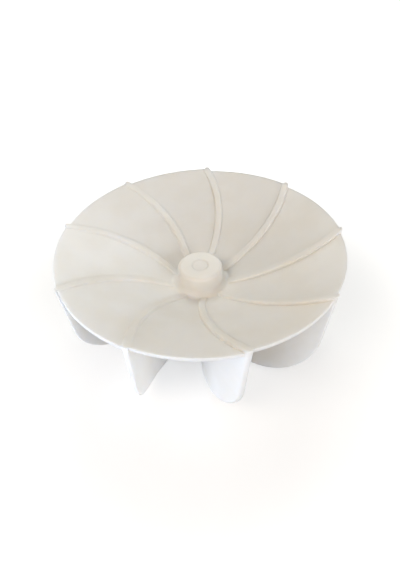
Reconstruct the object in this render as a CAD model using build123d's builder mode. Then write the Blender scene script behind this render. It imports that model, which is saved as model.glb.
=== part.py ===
from build123d import *
import os

# All sizes are in millimetres. Z is the shaft axis and Z = 0 the lowest edges of the blades.

# ---- overall
BLADES = 9
PITCH = 360 / BLADES
TIP_R = 75.0
HEIGHT = 64.0
BLANK_R = 79.0
BLANK_TOP = 70.0

# ---- blade: one arc in plan from hub to tip
BLADE_T = 2.5
CAMBER_START = (4.0, 1.7)
CAMBER_MID = (42.0, -9.0)
CAMBER_END = (82.0, 4.5)

# ---- blade outline about the axis, as (radius, height)
ROOT_R = 10.5
CREST_ROOT = (ROOT_R, 35.3)
CREST_MID = (42.0, 50.5)
CREST_TIP = (TIP_R, HEIGHT)
TOE = (69.8, 7.5)
TOE_R = 32.0
HEEL = (34.3, 0.0)
HEEL_BLEND_R = 90.0

# ---- dish: nine petals, each one slice of a shallow cone tipped about a radial line
PETAL_T = 2.0
RIM_R = 73.9
DISH_FOOT = (0.0, 30.2)
DISH_EDGE = (85.0, 68.0)
TILT = 1.5
TILT_AZIMUTH = 12.0
TILT_Z = 49.0

# ---- ridge: where a petal runs up into its blade, and the blade's broken edges
RIDGE_FOOT = (42.0, -7.7, 49.3)
RIDGE_RISE = 1.6
RIDGE_RUN = 2.2
BLADE_EDGE = 0.5
EDGE_FROM_R = 11.5
DISH_UNDERSIDE_Z = 45.5

# ---- hub: closed and dimpled on top, with the shaft bore running up from the nose
HUB_R = 12.0
HUB_TOP_Z = 48.0
HUB_EDGE_R = 2.0
FLARE_START = (HUB_R, 40.3)
FLARE_END = (16.1, 37.3)
FLARE_STEPS = 5
NOSE_Z = 2.0
NOSE_EDGE = 1.5
DIMPLE_R = 4.6
DIMPLE_DEPTH = 0.5
DIMPLE_EDGE = 0.5
DIMPLE_Z = HUB_TOP_Z - DIMPLE_DEPTH
BORE_R = 4.0
BORE_DEPTH = 42.0
BORE_LEAD_IN = 0.8

os.makedirs("parts", exist_ok=True)


def lower(point):
    """The matching point on the underside of a petal."""
    return (point[0], point[1] - PETAL_T)


def is_outside_root(edge):
    """Whether an edge lies clear of the hub."""
    middle = edge @ 0.5
    return (middle.X**2 + middle.Y**2) ** 0.5 > EDGE_FROM_R


def is_below_dish(edge):
    """Whether an edge lies under the petals."""
    return (edge @ 0.5).Z < DISH_UNDERSIDE_Z


# Centre lines in plan of one blade and of the next one round.
with BuildLine() as camber:
    ThreePointArc(CAMBER_START, CAMBER_MID, CAMBER_END)
this_camber = camber.edges()[0]
next_camber = this_camber.rotate(Axis.Z, PITCH)

# The shallow cone that every petal is a slice of.
with BuildPart() as cone:
    with BuildSketch(Plane.XZ):
        with BuildLine():
            Polyline(DISH_FOOT, DISH_EDGE, lower(DISH_EDGE), lower(DISH_FOOT), close=True)
        make_face()
    revolve(axis=Axis.Z)
tilt_axis = Axis((0, 0, TILT_Z), (1, 0, 0))
tipped_cone = cone.part.rotate(tilt_axis, -TILT).rotate(Axis.Z, TILT_AZIMUTH)

# One ninth of the impeller: a petal and the blade along its high side.
with BuildPart() as ninth:
    add(tipped_cone)
    with BuildSketch():
        with BuildLine():
            add(this_camber)
            add(next_camber)
            Line(this_camber @ 0, next_camber @ 0)
            Line(this_camber @ 1, next_camber @ 1)
        make_face()
    extrude(amount=BLANK_TOP, mode=Mode.INTERSECT)
    with BuildSketch() as band:
        SlotArc(this_camber, BLADE_T)
    extrude(amount=BLANK_TOP)
    with BuildSketch():
        Circle(BLANK_R)
        Circle(ROOT_R, mode=Mode.SUBTRACT)
    extrude(amount=BLANK_TOP, mode=Mode.INTERSECT)

    # The petal rises into the blade with a slope; its far side meets the next blade sharply.
    chamfer(edges().sort_by_distance(RIDGE_FOOT)[0], RIDGE_RISE, RIDGE_RUN)

    # Trim to the blade outline, which is the same at every azimuth.
    with BuildSketch(Plane.XZ):
        with BuildLine():
            ThreePointArc(CREST_ROOT, CREST_MID, CREST_TIP)
            Polyline(CREST_TIP, TOE, HEEL, (ROOT_R, 0), CREST_ROOT)
        make_face()
        fillet(vertices().sort_by_distance(TOE)[0], TOE_R)
        fillet(vertices().sort_by_distance(HEEL)[0], HEEL_BLEND_R)
    revolve(axis=Axis.Z, mode=Mode.INTERSECT)

    # The petal stops short of the blade tip.
    with BuildSketch():
        Circle(BLANK_R)
        Circle(RIM_R, mode=Mode.SUBTRACT)
        add(band.sketch, mode=Mode.SUBTRACT)
    extrude(amount=BLANK_TOP, mode=Mode.SUBTRACT)

    # Break the free edges of the blade.
    concave_flank, convex_flank = faces().sort_by(SortBy.AREA)[-2:]
    free = convex_flank.edges().filter_by(is_outside_root)
    free += concave_flank.edges().filter_by(is_outside_root).filter_by(is_below_dish)
    chamfer(free, BLADE_EDGE)

# The hub flares out into the dish on a curve, made of short straight steps.
flare = Edge.make_tangent_arc(FLARE_START, (0, -1, 0), FLARE_END)

with BuildPart() as impeller:
    with PolarLocations(0, BLADES):
        add(ninth.part)
    with BuildSketch(Plane.XZ):
        with BuildLine():
            Polyline((0, NOSE_Z), (0, DIMPLE_Z), (DIMPLE_R - DIMPLE_EDGE, DIMPLE_Z))
            Polyline((DIMPLE_R - DIMPLE_EDGE, DIMPLE_Z), (DIMPLE_R, HUB_TOP_Z), (HUB_R, HUB_TOP_Z))
            Line((HUB_R, HUB_TOP_Z), FLARE_START)
            Polyline([flare @ (step / FLARE_STEPS) for step in range(FLARE_STEPS + 1)])
            Polyline(FLARE_END, (HUB_R, FLARE_END[1] - PETAL_T), (HUB_R, NOSE_Z), (0, NOSE_Z))
        make_face()
        fillet(vertices().sort_by_distance((HUB_R, HUB_TOP_Z))[0], HUB_EDGE_R)
        chamfer(vertices().sort_by_distance((HUB_R, NOSE_Z))[0], NOSE_EDGE)
    revolve(axis=Axis.Z)
    with Locations(Plane.XY.offset(NOSE_Z).rotated((180, 0, 0))):
        CounterSinkHole(BORE_R, BORE_R + BORE_LEAD_IN, BORE_DEPTH, counter_sink_angle=90)

impeller.part.label = "impeller"
export_step(impeller.part, "parts/impeller.step")
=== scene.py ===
"""A one-piece moulded fan impeller standing on a pale table under soft window light."""

import logging
import math
from dataclasses import dataclass, field
from enum import Enum

import bpy
from mathutils import Matrix, Vector


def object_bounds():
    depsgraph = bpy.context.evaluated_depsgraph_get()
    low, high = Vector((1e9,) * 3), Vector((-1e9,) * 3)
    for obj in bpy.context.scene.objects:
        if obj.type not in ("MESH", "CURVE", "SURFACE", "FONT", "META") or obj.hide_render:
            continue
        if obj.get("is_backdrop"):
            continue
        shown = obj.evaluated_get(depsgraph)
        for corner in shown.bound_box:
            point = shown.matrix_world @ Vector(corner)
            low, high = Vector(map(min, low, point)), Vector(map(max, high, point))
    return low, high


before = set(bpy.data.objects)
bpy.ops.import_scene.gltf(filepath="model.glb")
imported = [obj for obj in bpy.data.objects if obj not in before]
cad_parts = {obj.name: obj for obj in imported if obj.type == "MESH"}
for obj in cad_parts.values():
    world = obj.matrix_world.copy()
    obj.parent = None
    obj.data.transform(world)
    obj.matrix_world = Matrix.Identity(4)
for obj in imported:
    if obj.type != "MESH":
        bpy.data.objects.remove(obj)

LOG = logging.getLogger("impeller_scene")
Colour = tuple[float, float, float, float]

FRAME_SIZE_PX = (400, 570)


class LampRole(Enum):
    """What each lamp of the studio is for."""

    LEFT_LAMP = "left_lamp"
    RIGHT_LAMP = "right_lamp"
    RIGHT_WINDOW = "right_window"
    BACK_WINDOW = "back_window"
    LOW_STRIP = "low_strip"


class NodeGraph:
    """Small helper that places nodes in one tree and wires them."""

    def __init__(self, tree: bpy.types.NodeTree) -> None:
        """Takes the tree to work in.

        Args:
            tree: The node tree of a material, world or group.
        """
        self.tree = tree

    def add(self, kind: str, **values: object) -> bpy.types.Node:
        """Adds one node.

        Args:
            kind: The node's Blender type name.
            **values: Attributes of the node, or values of its input sockets.

        Returns:
            The new node.
        """
        node = self.tree.nodes.new(kind)
        for name, value in values.items():
            if hasattr(node, name):
                setattr(node, name, value)
            else:
                node.inputs[name.replace("_", " ")].default_value = value
        return node

    def link(self, source: bpy.types.NodeSocket, target: bpy.types.NodeSocket) -> None:
        """Joins an output socket to an input socket.

        Args:
            source: The output socket.
            target: The input socket.
        """
        self.tree.links.new(source, target)

    def math(self, operation: str, first: object, second: object) -> bpy.types.NodeSocket:
        """Adds a Math node.

        Args:
            operation: The Math node's operation.
            first: A socket or a number.
            second: A socket or a number.

        Returns:
            The node's output socket.
        """
        node = self.add("ShaderNodeMath", operation=operation)
        for socket, value in zip(node.inputs, (first, second)):
            if isinstance(value, bpy.types.NodeSocket):
                self.link(value, socket)
            else:
                socket.default_value = value
        return node.outputs[0]

    def ramp(self, value: bpy.types.NodeSocket, low: float, high: float) -> bpy.types.NodeSocket:
        """Turns a value into a smooth 0 to 1 step.

        Args:
            value: The value to read.
            low: Where the step starts.
            high: Where it ends.

        Returns:
            A socket that runs from 0 at low to 1 at high.
        """
        node = self.add("ShaderNodeMapRange", interpolation_type="SMOOTHSTEP")
        node.inputs["From Min"].default_value = low
        node.inputs["From Max"].default_value = high
        self.link(value, node.inputs["Value"])
        return node.outputs["Result"]

    def mix(self, factor: bpy.types.NodeSocket, first: object, second: object) -> bpy.types.NodeSocket:
        """Blends two colours.

        Args:
            factor: 0 for the first colour, 1 for the second.
            first: A socket or a colour.
            second: A socket or a colour.

        Returns:
            The blended colour.
        """
        node = self.add("ShaderNodeMix", data_type="RGBA")
        self.link(factor, node.inputs["Factor"])
        for socket, value in zip((node.inputs[6], node.inputs[7]), (first, second)):
            if isinstance(value, bpy.types.NodeSocket):
                self.link(value, socket)
            else:
                socket.default_value = value
        return node.outputs[2]


def material_graph(name: str) -> tuple[bpy.types.Material, NodeGraph]:
    """Makes an empty node material.

    Args:
        name: The material's name.

    Returns:
        The material and the graph of its tree.
    """
    material = bpy.data.materials.new(name)
    material.use_nodes = True
    material.node_tree.nodes.clear()
    return material, NodeGraph(material.node_tree)


@dataclass(frozen=True)
class MottleEffect:
    """Cloudy variation and fine grain, shared by the plastic and the table."""

    name: str = "cloud_and_grain"
    cloud_detail: float = 4.0
    grain_detail: float = 2.0
    noise_roughness: float = 0.55

    def build(self) -> bpy.types.ShaderNodeTree:
        """Builds the node group once and returns it.

        Returns:
            A group with the inputs Position, Cloud Scale and Grain Scale, and the outputs Cloud
            and Grain.
        """
        existing = bpy.data.node_groups.get(self.name)
        if existing:
            return existing
        group = bpy.data.node_groups.new(self.name, "ShaderNodeTree")
        sockets = group.interface
        sockets.new_socket("Position", in_out="INPUT", socket_type="NodeSocketVector")
        cloud_scale = sockets.new_socket("Cloud Scale", in_out="INPUT", socket_type="NodeSocketFloat")
        grain_scale = sockets.new_socket("Grain Scale", in_out="INPUT", socket_type="NodeSocketFloat")
        cloud_scale.default_value = 40.0
        grain_scale.default_value = 900.0
        sockets.new_socket("Cloud", in_out="OUTPUT", socket_type="NodeSocketFloat")
        sockets.new_socket("Grain", in_out="OUTPUT", socket_type="NodeSocketFloat")
        graph = NodeGraph(group)
        inside = graph.add("NodeGroupInput")
        outside = graph.add("NodeGroupOutput")
        for result, detail in (("Cloud", self.cloud_detail), ("Grain", self.grain_detail)):
            noise = graph.add("ShaderNodeTexNoise", Detail=detail, Roughness=self.noise_roughness)
            graph.link(inside.outputs["Position"], noise.inputs["Vector"])
            graph.link(inside.outputs[f"{result} Scale"], noise.inputs["Scale"])
            graph.link(noise.outputs["Fac"], outside.inputs[result])
        return group


@dataclass(frozen=True)
class MilkyPlastic:
    """Natural polypropylene: milky, a little translucent, with a soft sheen."""

    name: str = "milky_polypropylene"
    pale: Colour = (0.87, 0.86, 0.84, 1.0)
    warm: Colour = (0.84, 0.82, 0.785, 1.0)
    roughness: float = 0.42
    sheen_variation: float = 0.12
    light_depth: float = 0.004
    light_spread: tuple[float, float, float] = (1.0, 0.92, 0.82)
    edge_radius: float = 0.0007
    edge_samples: int = 4
    refraction: float = 1.49
    cloud_scale: float = 38.0
    cloud_low: float = 0.35
    cloud_high: float = 0.68
    grain_scale: float = 1100.0
    grain_strength: float = 0.25
    grain_depth: float = 0.00008
    mottle: MottleEffect = field(default_factory=MottleEffect)

    def build(self) -> bpy.types.Material:
        """Builds the material.

        Returns:
            The finished material.
        """
        material, graph = material_graph(self.name)
        place = graph.add("ShaderNodeTexCoord").outputs["Object"]
        clouds = graph.add("ShaderNodeGroup")
        clouds.node_tree = self.mottle.build()
        clouds.inputs["Cloud Scale"].default_value = self.cloud_scale
        clouds.inputs["Grain Scale"].default_value = self.grain_scale
        graph.link(place, clouds.inputs["Position"])
        cloud = graph.ramp(clouds.outputs["Cloud"], self.cloud_low, self.cloud_high)
        colour = graph.mix(cloud, self.pale, self.warm)

        shader = graph.add("ShaderNodeBsdfPrincipled", IOR=self.refraction)
        shader.subsurface_method = "RANDOM_WALK"
        shader.inputs["Subsurface Weight"].default_value = 1.0
        shader.inputs["Subsurface Radius"].default_value = self.light_spread
        shader.inputs["Subsurface Scale"].default_value = self.light_depth
        graph.link(colour, shader.inputs["Base Color"])

        rough = graph.math("MULTIPLY_ADD", cloud, self.sheen_variation)
        rough.node.inputs[2].default_value = self.roughness - self.sheen_variation / 2
        graph.link(rough, shader.inputs["Roughness"])

        soft_edge = graph.add("ShaderNodeBevel", samples=self.edge_samples)
        soft_edge.inputs["Radius"].default_value = self.edge_radius
        bump = graph.add("ShaderNodeBump", Strength=self.grain_strength, Distance=self.grain_depth)
        graph.link(clouds.outputs["Grain"], bump.inputs["Height"])
        graph.link(soft_edge.outputs["Normal"], bump.inputs["Normal"])
        graph.link(bump.outputs["Normal"], shader.inputs["Normal"])

        output = graph.add("ShaderNodeOutputMaterial")
        graph.link(shader.outputs["BSDF"], output.inputs["Surface"])
        return material


@dataclass(frozen=True)
class PaleTable:
    """A plain pale surface that looks white to the camera and keeps the shadow."""

    name: str = "pale_table"
    bounce: Colour = (0.62, 0.56, 0.50, 1.0)
    bounce_shade: Colour = (0.5952, 0.5376, 0.48, 1.0)
    white: Colour = (0.62, 0.62, 0.62, 1.0)
    near_glow: Colour = (0.50, 0.50, 0.50, 1.0)
    far_glow: Colour = (1.0, 1.0, 1.0, 1.0)
    near_reach: float = 0.08
    far_reach: float = 0.26
    cloud_scale: float = 3.0
    grain_scale: float = 400.0
    mottle: MottleEffect = field(default_factory=MottleEffect)

    def build(self) -> bpy.types.Material:
        """Builds the material.

        Returns:
            The finished material.
        """
        material, graph = material_graph(self.name)
        place = graph.add("ShaderNodeTexCoord").outputs["Object"]
        paper = graph.add("ShaderNodeGroup")
        paper.node_tree = self.mottle.build()
        paper.inputs["Cloud Scale"].default_value = self.cloud_scale
        paper.inputs["Grain Scale"].default_value = self.grain_scale
        graph.link(place, paper.inputs["Position"])
        tone = graph.mix(paper.outputs["Cloud"], self.bounce, self.bounce_shade)
        matt = graph.add("ShaderNodeBsdfDiffuse")
        graph.link(tone, matt.inputs["Color"])
        seen = graph.add("ShaderNodeBsdfDiffuse", Color=self.white)
        away = graph.add("ShaderNodeVectorMath", operation="LENGTH")
        graph.link(place, away.inputs[0])
        reach = graph.ramp(away.outputs["Value"], self.near_reach, self.far_reach)
        lit = graph.add("ShaderNodeEmission", Strength=1.0)
        graph.link(graph.mix(reach, self.near_glow, self.far_glow), lit.inputs["Color"])
        bright = graph.add("ShaderNodeAddShader")
        graph.link(seen.outputs[0], bright.inputs[0])
        graph.link(lit.outputs[0], bright.inputs[1])
        path = graph.add("ShaderNodeLightPath")
        direct = graph.math("MAXIMUM", path.outputs["Is Camera Ray"], path.outputs["Is Glossy Ray"])
        direct = graph.math("MAXIMUM", direct, path.outputs["Is Transmission Ray"])
        blend = graph.add("ShaderNodeMixShader")
        graph.link(direct, blend.inputs[0])
        graph.link(matt.outputs[0], blend.inputs[1])
        graph.link(bright.outputs[0], blend.inputs[2])
        output = graph.add("ShaderNodeOutputMaterial")
        graph.link(blend.outputs[0], output.inputs["Surface"])
        return material


@dataclass
class Impeller:
    """The moulded impeller, which is one CAD node."""

    node: str = "impeller"
    finish: MilkyPlastic = field(default_factory=MilkyPlastic)

    def dress(self) -> None:
        """Gives the CAD node its finish."""
        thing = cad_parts[self.node]
        material = self.finish.build()
        for slot in thing.material_slots:
            slot.material = material
        LOG.info("%s dressed in %s", self.node, material.name)


@dataclass
class Lamp:
    """One soft rectangular lamp."""

    role: LampRole
    azimuth: float
    elevation: float
    distance: float
    size: tuple[float, float]
    watts: float
    colour: tuple[float, float, float]

    def build(self, target: Vector) -> bpy.types.Object:
        """Places the lamp round a target and turns it to it.

        Args:
            target: The point that the lamp faces.

        Returns:
            The lamp.
        """
        data = bpy.data.lights.new(self.role.value, "AREA")
        data.shape = "RECTANGLE"
        data.size, data.size_y = self.size
        data.energy = self.watts
        data.color = self.colour
        lamp = bpy.data.objects.new(self.role.value, data)
        lamp.visible_camera = False
        bpy.context.scene.collection.objects.link(lamp)
        az, el = math.radians(self.azimuth), math.radians(self.elevation)
        away = Vector((math.cos(az) * math.cos(el), math.sin(az) * math.cos(el), math.sin(el)))
        lamp.location = target + away * self.distance
        lamp.rotation_euler = away.to_track_quat("Z", "Y").to_euler()
        return lamp


@dataclass
class Studio:
    """Floor, world and lamps."""

    floor_reach: float = 3.0
    sky: Colour = (1.0, 0.95, 0.87, 1.0)
    sky_strength: float = 0.08
    lamps: tuple[Lamp, ...] = (
        Lamp(LampRole.LEFT_LAMP, 215.0, 45.0, 0.8, (0.5, 0.5), 2.9, (1.0, 0.89, 0.77)),
        Lamp(LampRole.RIGHT_LAMP, 310.0, 45.0, 0.8, (0.5, 0.5), 1.0, (1.0, 0.79, 0.55)),
        Lamp(LampRole.RIGHT_WINDOW, 310.0, 12.0, 0.8, (0.5, 0.5), 4.2, (0.81, 0.89, 1.0)),
        Lamp(LampRole.BACK_WINDOW, 80.0, 45.0, 0.8, (0.5, 0.5), 2.4, (0.96, 1.0, 0.97)),
        Lamp(LampRole.LOW_STRIP, 205.0, 0.0, 0.45, (0.5, 0.05), 1.6, (0.60, 0.76, 1.0)),
    )
    table: PaleTable = field(default_factory=PaleTable)

    def build(self, target: Vector) -> None:
        """Builds the floor, the world and the lamps.

        Args:
            target: The middle of the object.
        """
        self.build_floor()
        self.build_world()
        for lamp in self.lamps:
            lamp.build(target)
            LOG.info("lamp %s placed", lamp.role.value)

    def build_floor(self) -> None:
        """Lays the floor under the lowest point of the object."""
        low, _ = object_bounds()
        reach = self.floor_reach
        corners = [(-reach, -reach, 0.0), (reach, -reach, 0.0), (reach, reach, 0.0), (-reach, reach, 0.0)]
        mesh = bpy.data.meshes.new("table_top")
        mesh.from_pydata(corners, [], [(0, 1, 2, 3)])
        mesh.materials.append(self.table.build())
        floor = bpy.data.objects.new("table_top", mesh)
        floor.location.z = low[2]
        bpy.context.scene.collection.objects.link(floor)
        floor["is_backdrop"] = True

    def build_world(self) -> None:
        """Lights the room evenly, and shows white to the camera."""
        world = bpy.data.worlds.new("soft_room")
        bpy.context.scene.world = world
        world.use_nodes = True
        world.node_tree.nodes.clear()
        graph = NodeGraph(world.node_tree)
        room = graph.add("ShaderNodeBackground", Color=self.sky, Strength=self.sky_strength)
        white = graph.add("ShaderNodeBackground", Color=(1.0, 1.0, 1.0, 1.0), Strength=1.0)
        path = graph.add("ShaderNodeLightPath")
        blend = graph.add("ShaderNodeMixShader")
        graph.link(path.outputs["Is Camera Ray"], blend.inputs[0])
        graph.link(room.outputs[0], blend.inputs[1])
        graph.link(white.outputs[0], blend.inputs[2])
        output = graph.add("ShaderNodeOutputWorld")
        graph.link(blend.outputs[0], output.inputs["Surface"])


@dataclass
class StudioCamera:
    """The camera, looking down on the dish from the front."""

    aim: tuple[float, float, float] = (-0.00303, -0.03254, 0.064)
    distance: float = 0.21506
    azimuth: float = -94.42
    elevation: float = 43.31
    roll: float = -2.65
    focal_px: float = 466.5
    sensor_height: float = 36.0
    near_clip: float = 0.01

    def build(self) -> bpy.types.Object:
        """Makes the camera and sets it as the scene's own.

        Returns:
            The camera.
        """
        data = bpy.data.cameras.new("studio_camera")
        data.sensor_fit = "VERTICAL"
        data.sensor_height = self.sensor_height
        data.lens = self.focal_px / FRAME_SIZE_PX[1] * self.sensor_height
        data.clip_start = self.near_clip
        camera = bpy.data.objects.new("studio_camera", data)
        bpy.context.scene.collection.objects.link(camera)
        az, el = math.radians(self.azimuth), math.radians(self.elevation)
        back = Vector((math.cos(az) * math.cos(el), math.sin(az) * math.cos(el), math.sin(el)))
        level = Vector((0.0, 0.0, 1.0)).cross(back).normalized()
        upright = back.cross(level)
        roll = math.radians(self.roll)
        right = level * math.cos(roll) + upright * math.sin(roll)
        up = upright * math.cos(roll) - level * math.sin(roll)
        turn = Matrix((right, up, back)).transposed()
        camera.matrix_world = Matrix.Translation(Vector(self.aim) + back * self.distance) @ turn.to_4x4()
        bpy.context.scene.camera = camera
        return camera


def main() -> None:
    """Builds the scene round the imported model."""
    logging.basicConfig(level=logging.INFO, format="%(message)s")
    cad_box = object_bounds()
    bpy.context.scene.view_settings.view_transform = "Standard"
    StudioCamera().build()
    Impeller().dress()
    low, high = (Vector(corner) for corner in cad_box)
    Studio().build((low + high) / 2)


if __name__ == "__main__":
    main()
